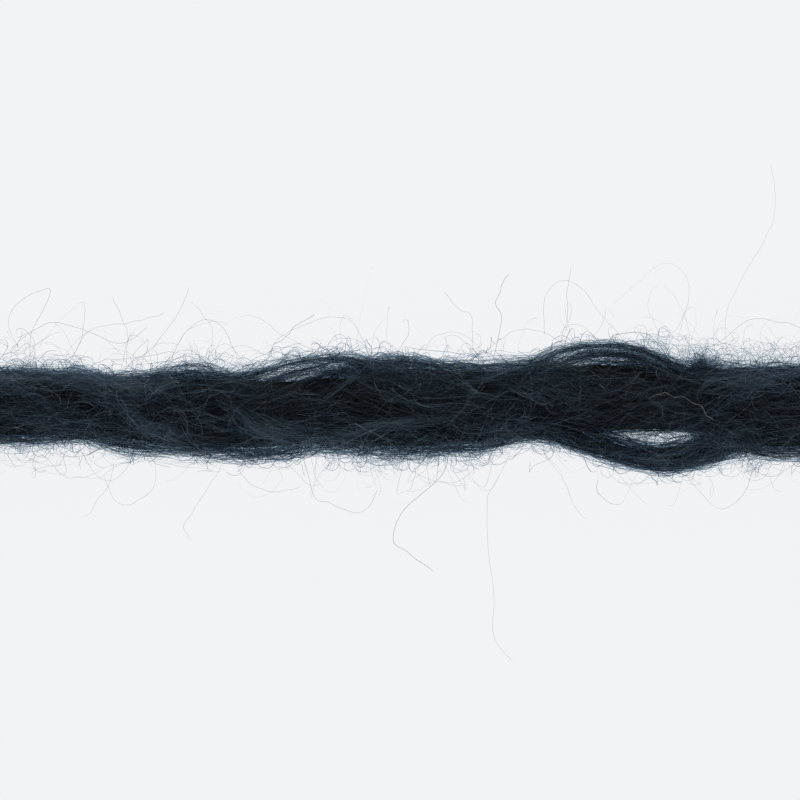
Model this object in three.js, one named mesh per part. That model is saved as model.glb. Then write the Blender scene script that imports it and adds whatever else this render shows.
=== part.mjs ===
// A cut length of thick, loosely plied knitting yarn, lying on a flat surface.
//
// Four soft plies turn round one another in a right-handed (Z) twist. They lie close together where
// the twist is firm and bow apart where it is slack, so that daylight shows between them.
// Millimetres, +Z up, with X along the strand, Y across it and the origin on the surface, under the
// middle of the strand.
import * as THREE from "three";

// Driving dimensions
const CUT_LENGTH = 56;
const STRAND_HEIGHT = 4.5;
const PRESSED_FLAT = 0.12; // how much of a ply's underside is squashed where it bears on the surface
const NARROWING = 0.55; // how far a ply's sides close in towards the middle of the strand
const SIDES = 20; // corners in a ply's section
const SECTION_STEP = 0.7; // spacing of the sections along the strand

// The fibre bundles that are spun into each ply, twisted against the way the plies are twisted,
// and the thick and thin places along it. A relief is a share of the ply's half width.
const BUNDLES = 4;
const BUNDLE_RELIEF = 0.035;
const BUNDLE_LAY = 11; // length in which a bundle goes once round its ply
const SLUB_RELIEF = 0.03;
const SLUB_SPACING = 5.3;

// The middle line of the strand, seen from above
const MIDDLE = [
  { x: -28, y: -0.1 },
  { x: -20, y: 0.1 },
  { x: -16, y: 0.1 },
  { x: -12, y: -0.15 },
  { x: -7, y: -0.25 },
  { x: -4, y: 0.1 },
  { x: 2, y: 0 },
  { x: 6, y: 0.3 },
  { x: 10, y: 0.3 },
  { x: 14, y: 0.1 },
  { x: 19, y: -0.1 },
  { x: 28, y: 0 },
];

// Each ply, a row for each section that shapes it.
// turn: degrees round the strand, 0 at +Y, 90 on top, 180 at -Y, 270 on the surface
// reach: sideways swing of the ply's middle from the strand's middle line
// wide: the ply's size round the strand; deep: its size towards the strand's middle
const PLIES = {
  ply_1: [
    { x: -28.0, turn: -150, reach: 1.35, wide: 2.1, deep: 1.8 },
    { x: -24.5, turn: -95, reach: 1.3, wide: 2.1, deep: 1.8 },
    { x: -20.0, turn: -22, reach: 1.15, wide: 1.4, deep: 1.6 },
    { x: -15.5, turn: 45, reach: 1.15, wide: 1.45, deep: 1.5 },
    { x: -12.5, turn: 90, reach: 1.3, wide: 2.15, deep: 1.8 },
    { x: -9.5, turn: 131, reach: 1.35, wide: 2.1, deep: 1.8 },
    { x: -6.5, turn: 178, reach: 1.4, wide: 2.1, deep: 1.7 },
    { x: -2.0, turn: 224, reach: 1.5, wide: 2.0, deep: 1.8 },
    { x: 2.0, turn: 268, reach: 1.35, wide: 2.2, deep: 1.8 },
    { x: 6.0, turn: 304, reach: 1.6, wide: 1.8, deep: 1.6 },
    { x: 8.25, turn: 334, reach: 2.25, wide: 1.85, deep: 0.85 },
    { x: 10.0, turn: 356, reach: 2.58, wide: 1.9, deep: 0.5 },
    { x: 12.5, turn: 378, reach: 2.4, wide: 1.8, deep: 0.6 },
    { x: 15.0, turn: 395, reach: 1.6, wide: 1.7, deep: 1.3 },
    { x: 17.4, turn: 423, reach: 1.4, wide: 1.7, deep: 1.7 },
    { x: 20.0, turn: 456, reach: 1.35, wide: 1.9, deep: 1.8 },
    { x: 24.0, turn: 504, reach: 1.35, wide: 2.0, deep: 1.8 },
    { x: 28.0, turn: 548, reach: 1.4, wide: 2.1, deep: 1.8 },
  ],
  ply_2: [
    { x: -28.0, turn: -242, reach: 1.35, wide: 1.8, deep: 1.8 },
    { x: -24.5, turn: -186, reach: 1.3, wide: 2.0, deep: 1.8 },
    { x: -20.0, turn: -116, reach: 1.15, wide: 1.55, deep: 1.7 },
    { x: -15.5, turn: -44, reach: 1.1, wide: 1.45, deep: 1.5 },
    { x: -12.5, turn: 0, reach: 1.15, wide: 1.8, deep: 1.6 },
    { x: -9.5, turn: 41, reach: 1.45, wide: 2.0, deep: 1.8 },
    { x: -6.75, turn: 86, reach: 1.4, wide: 2.2, deep: 1.8 },
    { x: -2.75, turn: 127, reach: 1.7, wide: 2.25, deep: 1.8 },
    { x: 2.0, turn: 178, reach: 1.5, wide: 2.1, deep: 1.7 },
    { x: 6.0, turn: 219, reach: 1.35, wide: 1.9, deep: 1.7 },
    { x: 9.75, turn: 289, reach: 1.95, wide: 2.05, deep: 1.7 },
    { x: 14.5, turn: 321, reach: 1.45, wide: 1.9, deep: 1.7 },
    { x: 17.4, turn: 343, reach: 1.3, wide: 1.9, deep: 1.6 },
    { x: 20.0, turn: 370, reach: 1.35, wide: 2.0, deep: 1.7 },
    { x: 24.0, turn: 414, reach: 1.4, wide: 2.0, deep: 1.8 },
    { x: 28.0, turn: 458, reach: 1.4, wide: 2.0, deep: 1.8 },
  ],
  ply_3: [
    { x: -28.0, turn: -330, reach: 1.35, wide: 1.75, deep: 1.8 },
    { x: -24.5, turn: -274, reach: 1.3, wide: 1.75, deep: 1.8 },
    { x: -20.0, turn: -201, reach: 1.15, wide: 1.45, deep: 1.6 },
    { x: -15.5, turn: -134, reach: 1.15, wide: 1.35, deep: 1.6 },
    { x: -12.5, turn: -90, reach: 1.2, wide: 1.9, deep: 1.8 },
    { x: -9.0, turn: -43, reach: 1.3, wide: 1.7, deep: 1.5 },
    { x: -5.5, turn: 0, reach: 2.05, wide: 1.8, deep: 0.75 },
    { x: -3.25, turn: 17, reach: 2.15, wide: 1.8, deep: 0.75 },
    { x: 0.5, turn: 62, reach: 1.55, wide: 1.9, deep: 1.6 },
    { x: 3.5, turn: 95, reach: 1.35, wide: 1.9, deep: 1.8 },
    { x: 7.0, turn: 132, reach: 1.4, wide: 1.7, deep: 1.6 },
    { x: 10.0, turn: 160, reach: 2.2, wide: 1.8, deep: 1.3 },
    { x: 13.25, turn: 180, reach: 2.65, wide: 1.9, deep: 1.2 },
    { x: 17.4, turn: 232, reach: 1.55, wide: 1.9, deep: 1.6 },
    { x: 20.0, turn: 266, reach: 1.35, wide: 2.0, deep: 1.8 },
    { x: 24.0, turn: 322, reach: 1.4, wide: 2.0, deep: 1.8 },
    { x: 28.0, turn: 368, reach: 1.4, wide: 2.0, deep: 1.8 },
  ],
  ply_4: [
    { x: -28.0, turn: -418, reach: 1.35, wide: 2.0, deep: 1.8 },
    { x: -24.5, turn: -362, reach: 1.3, wide: 1.8, deep: 1.8 },
    { x: -20.0, turn: -290, reach: 1.15, wide: 1.55, deep: 1.7 },
    { x: -15.5, turn: -224, reach: 1.1, wide: 1.35, deep: 1.6 },
    { x: -12.5, turn: -180, reach: 1.25, wide: 1.8, deep: 1.6 },
    { x: -9.5, turn: -138, reach: 1.35, wide: 1.85, deep: 1.7 },
    { x: -6.75, turn: -88, reach: 1.3, wide: 1.95, deep: 1.8 },
    { x: -2.5, turn: -55, reach: 1.45, wide: 1.9, deep: 1.7 },
    { x: 0.5, turn: -22, reach: 1.75, wide: 1.8, deep: 1.5 },
    { x: 4.0, turn: 17, reach: 1.35, wide: 1.8, deep: 1.6 },
    { x: 6.5, turn: 44, reach: 1.35, wide: 1.85, deep: 1.7 },
    { x: 9.5, turn: 85, reach: 1.3, wide: 2.1, deep: 1.7 },
    { x: 12.5, turn: 95, reach: 1.3, wide: 2.45, deep: 1.7 },
    { x: 15.0, turn: 108, reach: 1.3, wide: 1.75, deep: 1.7 },
    { x: 17.4, turn: 143, reach: 1.4, wide: 1.75, deep: 1.7 },
    { x: 20.0, turn: 182, reach: 1.45, wide: 1.9, deep: 1.6 },
    { x: 24.0, turn: 232, reach: 1.4, wide: 2.0, deep: 1.8 },
    { x: 28.0, turn: 280, reach: 1.4, wide: 2.0, deep: 1.8 },
  ],
};

const WOOL = { color: 0x1d252d, roughness: 0.95, metalness: 0 };

// The value of one column at any x, smooth from row to row.
function smooth(rows, column, x) {
  const last = rows.length - 1;
  const slope = (i) => (rows[i + 1][column] - rows[i][column]) / (rows[i + 1].x - rows[i].x);
  const lean = (i) => (slope(Math.max(i - 1, 0)) + slope(Math.min(i, last - 1))) / 2;
  let i = 0;
  while (i < last - 1 && x > rows[i + 1].x) i += 1;
  const span = rows[i + 1].x - rows[i].x;
  const t = (x - rows[i].x) / span;
  return (
    rows[i][column] * (1 + 2 * t) * (1 - t) ** 2 +
    lean(i) * span * t * (1 - t) ** 2 +
    rows[i + 1][column] * t * t * (3 - 2 * t) -
    lean(i + 1) * span * t * t * (1 - t)
  );
}

// The corners of a ply's section at x, anticlockwise as seen from the +X end. The section is a
// rounded wedge with its thin side towards the middle of the strand, flat where it meets the surface.
function section(rows, slubPhase, x) {
  const turn = THREE.MathUtils.degToRad(smooth(rows, "turn", x));
  const halfWide = smooth(rows, "wide", x) / 2;
  const halfDeep = smooth(rows, "deep", x) / 2;
  const middleY = smooth(MIDDLE, "y", x) + smooth(rows, "reach", x) * Math.cos(turn);
  const swingUp = STRAND_HEIGHT / 2 - halfDeep + PRESSED_FLAT;
  const middleZ = STRAND_HEIGHT / 2 + swingUp * Math.sin(turn);
  const slub = SLUB_RELIEF * Math.sin((2 * Math.PI * x) / SLUB_SPACING + slubPhase);
  const corners = [];
  for (let i = 0; i < SIDES; i += 1) {
    const angle = (2 * Math.PI * i) / SIDES;
    const bundle = BUNDLE_RELIEF * Math.cos(BUNDLES * (angle + (2 * Math.PI * x) / BUNDLE_LAY));
    const fullness = 1 + slub + bundle;
    const out = fullness * halfDeep * Math.cos(angle);
    const round = fullness * halfWide * Math.sin(angle) * (1 + NARROWING * Math.cos(angle));
    const y = middleY + out * Math.cos(turn) - round * Math.sin(turn);
    const z = middleZ + out * Math.sin(turn) + round * Math.cos(turn);
    corners.push(new THREE.Vector3(x, y, Math.max(z, 0)));
  }
  return corners;
}

// A closed skin through the sections, with a flat cut at each end.
function loft(sections) {
  const middles = [sections[0], sections.at(-1)].map((corners) =>
    corners.reduce((sum, corner) => sum.add(corner), new THREE.Vector3()).divideScalar(SIDES),
  );
  const points = [...sections.flat(), ...middles];
  const [startMiddle, endMiddle] = [points.length - 2, points.length - 1];
  const end = (sections.length - 1) * SIDES;
  const faces = [];
  for (let i = 0; i < SIDES; i += 1) {
    const next = (i + 1) % SIDES;
    for (let here = 0; here < end; here += SIDES) {
      const there = here + SIDES;
      faces.push(here + i, here + next, there + i);
      faces.push(here + next, there + next, there + i);
    }
    faces.push(startMiddle, next, i);
    faces.push(endMiddle, end + i, end + next);
  }
  const geometry = new THREE.BufferGeometry().setFromPoints(points).setIndex(faces);
  geometry.computeVertexNormals();
  return geometry;
}

function ply(name, rows, slubPhase) {
  const steps = Math.round(CUT_LENGTH / SECTION_STEP);
  const sections = [];
  for (let step = 0; step <= steps; step += 1) {
    sections.push(section(rows, slubPhase, CUT_LENGTH * (step / steps - 0.5)));
  }
  const mesh = new THREE.Mesh(loft(sections), new THREE.MeshStandardMaterial(WOOL));
  mesh.name = name;
  return mesh;
}

const yarn = new THREE.Group();
Object.entries(PLIES).forEach(([name, rows], i) => yarn.add(ply(name, rows, (i * Math.PI) / 2)));

export default yarn;
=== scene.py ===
# A cut length of thick, loosely plied wool knitting yarn on a pale table, seen from straight above.
import math

import bpy
import numpy as np
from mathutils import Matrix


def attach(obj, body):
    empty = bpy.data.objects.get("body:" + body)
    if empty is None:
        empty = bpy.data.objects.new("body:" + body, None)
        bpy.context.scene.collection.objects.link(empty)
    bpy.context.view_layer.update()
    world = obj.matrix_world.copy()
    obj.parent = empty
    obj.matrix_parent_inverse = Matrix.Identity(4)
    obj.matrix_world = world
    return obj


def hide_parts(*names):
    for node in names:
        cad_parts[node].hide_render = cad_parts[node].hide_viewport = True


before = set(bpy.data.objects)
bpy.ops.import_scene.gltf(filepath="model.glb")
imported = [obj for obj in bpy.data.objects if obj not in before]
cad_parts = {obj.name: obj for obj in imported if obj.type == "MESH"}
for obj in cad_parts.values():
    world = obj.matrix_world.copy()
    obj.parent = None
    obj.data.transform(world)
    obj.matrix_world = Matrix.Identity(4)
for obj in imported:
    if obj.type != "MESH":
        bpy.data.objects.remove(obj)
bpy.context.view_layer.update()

MM = 0.001
TINY = 1e-12
PLIES = ["ply_1", "ply_2", "ply_3", "ply_4"]
SEED = 20250
STRAND_SEED = SEED + 10

# The camera's view of the strand
VIEW_WIDE = 40 * MM
VIEW_MIDDLE_Y = 0.4 * MM
CAMERA_HEIGHT = 500 * MM
STRAND_MIDDLE_Z = 2.2 * MM
SENSOR_WIDE = 36.0  # millimetres, as the camera takes it
SEEN = (0.01, 20.0)  # the nearest and the farthest distance that the camera sees

# Light, in metres and watts
HORIZON_LIGHT = (0.80, 0.82, 0.85, 1)
OVERHEAD_LIGHT = (0.13, 0.135, 0.145, 1)
OVERHEAD_START = 0.35  # where the overhead light starts, from 0 at the horizon to 1 straight up
SOFTBOX = {"place": (-0.25, 0.35, 0.7), "size": 0.5, "watts": 0.5}
TABLE_HALF = 3.0
TABLE_COLOUR = (0.12, 0.12, 0.12, 1)
TABLE_ROUGH = 0.9
TABLE_GLOW = (0.968, 0.978, 1.0, 1)
TABLE_GLOW_STRENGTH = 0.89

# Kinds of wool: their shades from dark to light, how rough they are, and the share of light that they stop
DYED = {"dark": (0.012, 0.014, 0.017), "light": (0.29, 0.37, 0.44), "rough": 0.6}
WOOLS = {
    # The core's wool is the dyed wool painted much darker: painted shade deep inside the yarn
    "core_wool_painted_shade": {"dark": (0.006, 0.008, 0.010), "light": (0.012, 0.016, 0.020), "rough": 0.9, "solid": 1.0},
    "wool": {**DYED, "solid": 0.5},
    "stray_wool": {**DYED, "solid": 0.75},
    "pale_wool": {"dark": (0.33, 0.32, 0.30), "light": (0.85, 0.83, 0.79), "rough": 0.6, "solid": 1.0},
}
WOOL_GLOSS = 0.35
FIBRE_TINT = (0.76, 0.895, 1.0)  # what light takes on in a thin fibre
MOTTLE_FINE = (60, 14, 1)  # how fine the mottling is across the shades and along a fibre
MOTTLE_DETAIL = 2.0
MOTTLE_SHIFT = 0.5  # how far the mottling moves a fibre along its shades, at most
DARK_END = 0.25  # the place on the shades, with the mottling added, where they are darkest
LIGHT_END = 1.25 / 1.3  # and where they are lightest

# How a fibre's strip lies on the OFBake map: from dark to light across it, and from end to end up it
SHADE_START = 0.02
SHADE_REACH = 0.9
STRIP_WIDE = 0.012
STRIP_ENDS = (0.02, 0.98)

# How the plies' forms are read
ANGLES = 48  # directions round a middle line in which a radius is kept
EVERY_ANGLE = np.arange(ANGLES) * 2 * math.pi / ANGLES
SECTION_GRID = 0.01  # millimetres to which x is rounded, so that a cross-section's points share it
RIM_FROM = 0.15 * MM  # points nearer the middle of a cross-section than this aren't on its rim

# The dense core
CORE_STEPS = 160  # cross-sections along it
CORE_SIDES = 24  # points round each
CORE_SHARE = 0.38  # a ply's core as a share of its ply
MIDDLE_SHARE = 0.95  # the core of the strand's middle as a share of that middle
MIDDLE_DEEP = 2.6  # millimetres from the top to the bottom of the dense middle
CORE_DRAWN_IN = 0.5 * MM  # how far the core ends short of the cut
CORE_TAPER = 5 * MM  # how far before its end the core starts to thin
CORE_TIP = 0.45  # how thick it is at its end, as a share
RIDGE_HIGH = 0.05  # as a share of the radius
THIN_FADE = 1.5  # millimetres beside a thin place over which the core narrows

# Ridges that wind round the core: how many, the millimetres along x for each radian of their wave, and their
# heights beside one another
RIDGES = [
    {"ridges": 7, "slant": 1.9, "height": 1.0},
    {"ridges": 11, "slant": 1.3, "height": 0.6},
]

# Fibres
FIBRE_THICK = 0.03 * MM
FIBRE_TIP = 0.3  # a fibre's width at its ends, as a share
FLOOR_CLEAR = 0.02 * MM  # how far a fibre's middle stays above the table
RAGGED = 0.5 * MM  # how unevenly the fibres end at the cut
FIBRE_LONG = (6 * MM, 13 * MM)  # the shortest and the longest fibre in a ply
SHORTEST_LEFT = 2 * MM  # what is left at least of a fibre that ends at a thin place
THIN_RAGGED = 0.7 * MM  # how unevenly the fibres end there
FIRST_START = 9 * MM  # how far before the filled part the first fibres start
LAST_START = 1 * MM  # how far inside its end the last ones start
SPIN = -0.05  # turns in each millimetre, against the way in which the plies turn
WISP_SPIN = 0.02  # how much the wisps' spins differ, and how much their fibres' do
FIBRE_SPIN = 0.03
WISP_ANGLE = 0.4  # radians round the ply by which a wisp's fibres differ
WISP_DEPTH = 0.13  # and how much they differ in depth, as a share of the ply's radius
INNERMOST = 0.15  # the share of a ply's section, from its middle, in which no wisp lies
OUTERMOST = 1.03  # where the outermost wisp lies, as a share of the ply's radius
OUTWARD = 0.16  # how far the fibres spread past a ply's form, as a share of its radius
BEND_KEPT = 0.8  # the share of its bend that a loose hair keeps from point to point
LOOP_PLY = "ply_3"  # the ply that bows out at the bottom
LOOP_ENDS = (10 * MM, 17 * MM)  # where it gets more fibres

# Waves in which fibres wander: their length and height
WAVE_STRETCH = (0.7, 1.4)  # how the lengths differ from fibre to fibre
TURN_WAVES = [(9 * MM, 0.12), (4 * MM, 0.10), (1.8 * MM, 0.04)]
DEPTH_WAVES = [(11 * MM, 0.06), (5 * MM, 0.05), (2 * MM, 0.035)]
CROSSING_WAVES = [(3 * MM, 0.08)]
WISP_WAVES = [(5, 0.1), (2.2, 0.05)]
STRAY_WAVES = [(9, 0.02), (23, 0.07)]
PALE_WAVES = [(5, 0.03)]

# Fibres that fill a form: how many, the points along each, and the wisps in which they lie
FILLINGS = {
    "ply": {"count": 3000, "points": 14, "wisps": 130},
    "middle": {"count": 1500, "points": 17, "wisps": 110},
    "loop": {"count": 500, "points": 14, "wisps": 110},
}

# Curly hairs that stand off a form: how many, the points along each and the millimetres from one to the next,
# how tightly they curl, how much they head outwards, how hard they are drawn back, and how far they stray in
# millimetres, on average and at most
CURLS = {
    "fringe": {
        "count": 2400, "points": 20, "step": 0.13,
        "curl": 0.10, "rise": 0.1, "pull": 0.18, "stray": 0.04, "most": 0.25,
    },
    "halo": {
        "count": 1100, "points": 26, "step": 0.2,
        "curl": 0.07, "rise": 0.15, "pull": 0.1, "stray": 0.2, "most": 1.8,
    },
    "arching": {
        "count": 220, "points": 44, "step": 0.24,
        "curl": 0.06, "rise": 0.45, "pull": 0.12, "stray": 0.7, "most": 2.2,
    },
}

# Fibres that lie over the strand in all directions, and the points along hairs with tables of their own
CROSSING = {"count": 850, "points": 20, "step": 0.26}
WISP_POINTS = 16
TANGLE = {"points": 26, "step": 0.14}
STRAY_POINTS = 48
PALE_POINTS = 24

# How each kind of hair looks: its wool, its least and greatest width as shares of a fibre's, its darkest
# shade, and how much lighter the others are
LOOKS = {
    "ply": {"wool": "wool", "thin": 0.6, "thick": 1.15, "shade": 0.0, "spread": 0.13},
    "fringe": {"wool": "wool", "thin": 0.7, "thick": 1.4, "shade": 0.06, "spread": 0.18},
    "middle": {"wool": "stray_wool", "thin": 0.8, "thick": 1.4, "shade": 0.01, "spread": 0.10},
    "loop": {"wool": "wool", "thin": 0.65, "thick": 1.3, "shade": 0.0, "spread": 0.13},
    "crossing": {"wool": "stray_wool", "thin": 0.4, "thick": 0.8, "shade": 0.12, "spread": 0.4},
    "halo": {"wool": "wool", "thin": 0.35, "thick": 0.7, "shade": 0.1, "spread": 0.3},
    "arching": {"wool": "stray_wool", "thin": 0.25, "thick": 0.5, "shade": 0.1, "spread": 0.3},
    "tangle": {"wool": "wool", "thin": 0.4, "thick": 0.8, "shade": 0.1, "spread": 0.25},
}
FEW_LIGHT = 1.75  # a greater power leaves fewer of them light
WISP_WIDE = (0.4, 0.9)
# Wisps are made lighter than the ply fibres as painted light
WISP_LIGHTER = (0.7, 2.6)  # a wisp's fibres have its shade times a number between these
STRAY_SHADES = (0.02, 0.05)  # the darkest, and how much lighter the others are
PALE_WIDE = 0.75
PALE_SHADE = 0.7

# The dense middle of the strand, which lets no light through: how far it reaches across, in millimetres
MIDDLE = [
    {"x": -28, "low": -0.9, "high": 1.1},
    {"x": -20, "low": -0.6, "high": 1.1},
    {"x": -15, "low": -0.7, "high": 1.1},
    {"x": -10, "low": -1.2, "high": 1.3},
    {"x": -5, "low": -0.9, "high": 1.5},
    {"x": 0, "low": -1.4, "high": 1.5},
    {"x": 5, "low": -1.3, "high": 1.5},
    {"x": 8, "low": -1.3, "high": 2.05},
    {"x": 10, "low": -1.3, "high": 2.25},
    {"x": 12, "low": -1.4, "high": 2.15},
    {"x": 14, "low": -1.35, "high": 2.0},
    {"x": 15, "low": -1.25, "high": 1.8},
    {"x": 17, "low": -1.5, "high": 1.4},
    {"x": 20, "low": -1.4, "high": 1.3},
    {"x": 28, "low": -1.4, "high": 1.3},
]

# Where light comes through a ply, in millimetres along x, and the shares of its fibres and core that go on
THIN_PLACES = [
    {"ply": "ply_3", "start": -7.0, "end": -2.5, "kept": 0.4, "core": 0.05},
    {"ply": "ply_1", "start": 7.5, "end": 13.5, "kept": 0.53, "core": 0.05},
    {"ply": "ply_3", "start": 10.5, "end": 16.5, "kept": 0.85, "core": 0.5},
]

# Openings where the fibres part: their middle, half length and half width in millimetres, their turn in
# degrees, and the share of the fibres that cross them
OPENINGS = [
    {"x": 12.65, "y": -1.65, "long": 2.9, "wide": 0.41, "turn": 0, "crossing": 0.49},
    {"x": 10.4, "y": 2.5, "long": 2.0, "wide": 0.12, "turn": -4, "crossing": 0.68},
    {"x": -4.0, "y": 1.85, "long": 2.2, "wide": 0.14, "turn": 17, "crossing": 0.62},
    {"x": 19.2, "y": -1.85, "long": 1.3, "wide": 0.08, "turn": 0, "crossing": 0.4},
]
RIM_WIDE = 0.35  # millimetres beside an opening in which the parted fibres gather
RIM_FILLED = 0.5  # how far into that rim the fibres start to gather, at most, as a share
BLUNT = 3  # an opening's width falls off with this power of the distance along it
ROUND = 0.7  # and this power of what is left makes its ends rounder

# How far the loose wool is moved up at the strand's top edge and at its bottom edge, in millimetres along x
EDGES = [
    {"x": -20, "top": -0.12, "bottom": 0.15},
    {"x": -18, "top": -0.2, "bottom": 0.15},
    {"x": -16, "top": -0.08, "bottom": 0.12},
    {"x": -14, "top": -0.3, "bottom": -0.03},
    {"x": -12, "top": -0.18, "bottom": 0.1},
    {"x": -10, "top": -0.05, "bottom": 0.0},
    {"x": -8, "top": -0.08, "bottom": 0.0},
    {"x": -6.5, "top": -0.05, "bottom": 0.0},
    {"x": -4, "top": -0.05, "bottom": 0.2},
    {"x": -2, "top": 0.08, "bottom": 0.0},
    {"x": 0, "top": 0.08, "bottom": 0.15},
    {"x": 2, "top": -0.22, "bottom": 0.28},
    {"x": 4, "top": -0.2, "bottom": 0.0},
    {"x": 6, "top": -0.1, "bottom": 0.2},
    {"x": 8, "top": 0.2, "bottom": 0.1},
    {"x": 10, "top": 0.0, "bottom": 0.1},
    {"x": 12, "top": 0.02, "bottom": 0.05},
    {"x": 14, "top": -0.32, "bottom": 0.15},
    {"x": 16, "top": -0.2, "bottom": 0.0},
    {"x": 18, "top": -0.08, "bottom": 0.05},
    {"x": 21, "top": -0.1, "bottom": 0.0},
]
EDGE_FROM_MIDDLE = 2 * MM  # how far from the strand's middle line it is moved in full

# How many of the loose hairs stand off the strand's top and bottom along it, as shares
FUZZ = [
    {"x": -28, "top": 0.8, "bottom": 0.6},
    {"x": -20, "top": 0.8, "bottom": 0.8},
    {"x": -18, "top": 1.0, "bottom": 0.5},
    {"x": -15, "top": 1.0, "bottom": 0.4},
    {"x": -12, "top": 1.0, "bottom": 0.25},
    {"x": -9, "top": 0.6, "bottom": 0.2},
    {"x": -6, "top": 0.2, "bottom": 0.5},
    {"x": -4, "top": 0.35, "bottom": 0.8},
    {"x": 0, "top": 0.8, "bottom": 0.7},
    {"x": 2, "top": 0.25, "bottom": 0.9},
    {"x": 4, "top": 0.35, "bottom": 1.0},
    {"x": 6, "top": 0.2, "bottom": 0.6},
    {"x": 8, "top": 0.08, "bottom": 0.4},
    {"x": 10, "top": 0.15, "bottom": 0.15},
    {"x": 12, "top": 0.4, "bottom": 0.15},
    {"x": 14, "top": 1.0, "bottom": 0.9},
    {"x": 16, "top": 1.0, "bottom": 0.6},
    {"x": 18, "top": 1.0, "bottom": 0.3},
    {"x": 28, "top": 0.8, "bottom": 0.6},
]

# Where the wool shows lighter or darker than elsewhere, in millimetres and degrees. This is partly the wool's
# own
# tone and partly painted light: the lighter patches, mostly near the rims, are painted light that comes
# through the thin wool there, and the darker ones, mostly in the middle, are painted shade
TONES_AND_PAINTED_LIGHT = [
    {"x": -16.7, "y": 0.7, "long": 2.2, "wide": 0.35, "turn": 0, "tone": 0.5},
    {"x": -16.5, "y": 1.6, "long": 3.5, "wide": 0.5, "turn": -3, "tone": 2.8},
    {"x": -15.5, "y": -1.0, "long": 4.5, "wide": 0.6, "turn": -5, "tone": 1.8},
    {"x": -14.8, "y": 1.4, "long": 4.2, "wide": 0.35, "turn": -5, "tone": 5.0},
    {"x": -14.0, "y": -0.2, "long": 3.3, "wide": 0.3, "turn": -28, "tone": 1.8},
    {"x": -13.0, "y": -1.0, "long": 2.0, "wide": 0.3, "turn": -15, "tone": 2.4},
    {"x": -12.9, "y": -1.6, "long": 1.0, "wide": 0.2, "turn": -8, "tone": 0.5},
    {"x": -12.0, "y": -0.1, "long": 1.0, "wide": 0.25, "turn": -20, "tone": 0.4},
    {"x": -8.5, "y": 0.3, "long": 1.8, "wide": 0.4, "turn": -10, "tone": 0.5},
    {"x": -8.5, "y": -0.6, "long": 2.5, "wide": 0.8, "turn": -25, "tone": 1.6},
    {"x": -7.7, "y": -1.2, "long": 1.8, "wide": 0.35, "turn": -22, "tone": 3.0},
    {"x": -5.5, "y": 0.2, "long": 2.5, "wide": 0.5, "turn": -15, "tone": 0.5},
    {"x": -4.8, "y": -1.8, "long": 2.4, "wide": 0.4, "turn": -8, "tone": 3.0},
    {"x": -2.4, "y": 1.3, "long": 1.8, "wide": 0.2, "turn": 29, "tone": 1.7},
    {"x": -1.8, "y": -1.3, "long": 2.4, "wide": 0.3, "turn": 10, "tone": 3.0},
    {"x": 0.0, "y": 2.25, "long": 3.2, "wide": 0.4, "turn": -2, "tone": 2.6},
    {"x": 1.2, "y": -2.0, "long": 3.5, "wide": 0.4, "turn": 3, "tone": 2.6},
    {"x": 3.0, "y": -0.4, "long": 2.5, "wide": 0.35, "turn": 0, "tone": 0.5},
    {"x": 5.2, "y": 1.8, "long": 1.8, "wide": 0.4, "turn": 5, "tone": 2.0},
    {"x": 7.2, "y": -1.2, "long": 1.5, "wide": 0.3, "turn": -10, "tone": 1.8},
    {"x": 7.3, "y": 0.5, "long": 2.6, "wide": 0.7, "turn": -31, "tone": 1.5},
    {"x": 11.2, "y": 1.8, "long": 1.5, "wide": 0.3, "turn": 0, "tone": 2.5},
    {"x": 12.7, "y": -2.6, "long": 3.0, "wide": 0.4, "turn": 0, "tone": 1.6},
    {"x": 14.0, "y": -2.5, "long": 2.0, "wide": 0.4, "turn": 10, "tone": 2.0},
    {"x": 16.0, "y": -2.3, "long": 1.5, "wide": 0.4, "turn": 25, "tone": 2.5},
    {"x": 16.2, "y": -1.4, "long": 1.5, "wide": 0.3, "turn": 25, "tone": 1.6},
    {"x": 17.3, "y": 1.6, "long": 2.2, "wide": 0.4, "turn": 3, "tone": 2.8},
    {"x": 17.8, "y": 0.9, "long": 2.3, "wide": 0.35, "turn": 30, "tone": 1.7},
    {"x": 18.0, "y": 0.0, "long": 2.0, "wide": 0.8, "turn": 0, "tone": 0.6},
    {"x": 19.1, "y": -1.7, "long": 1.0, "wide": 0.25, "turn": 0, "tone": 2.5},
]
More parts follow.
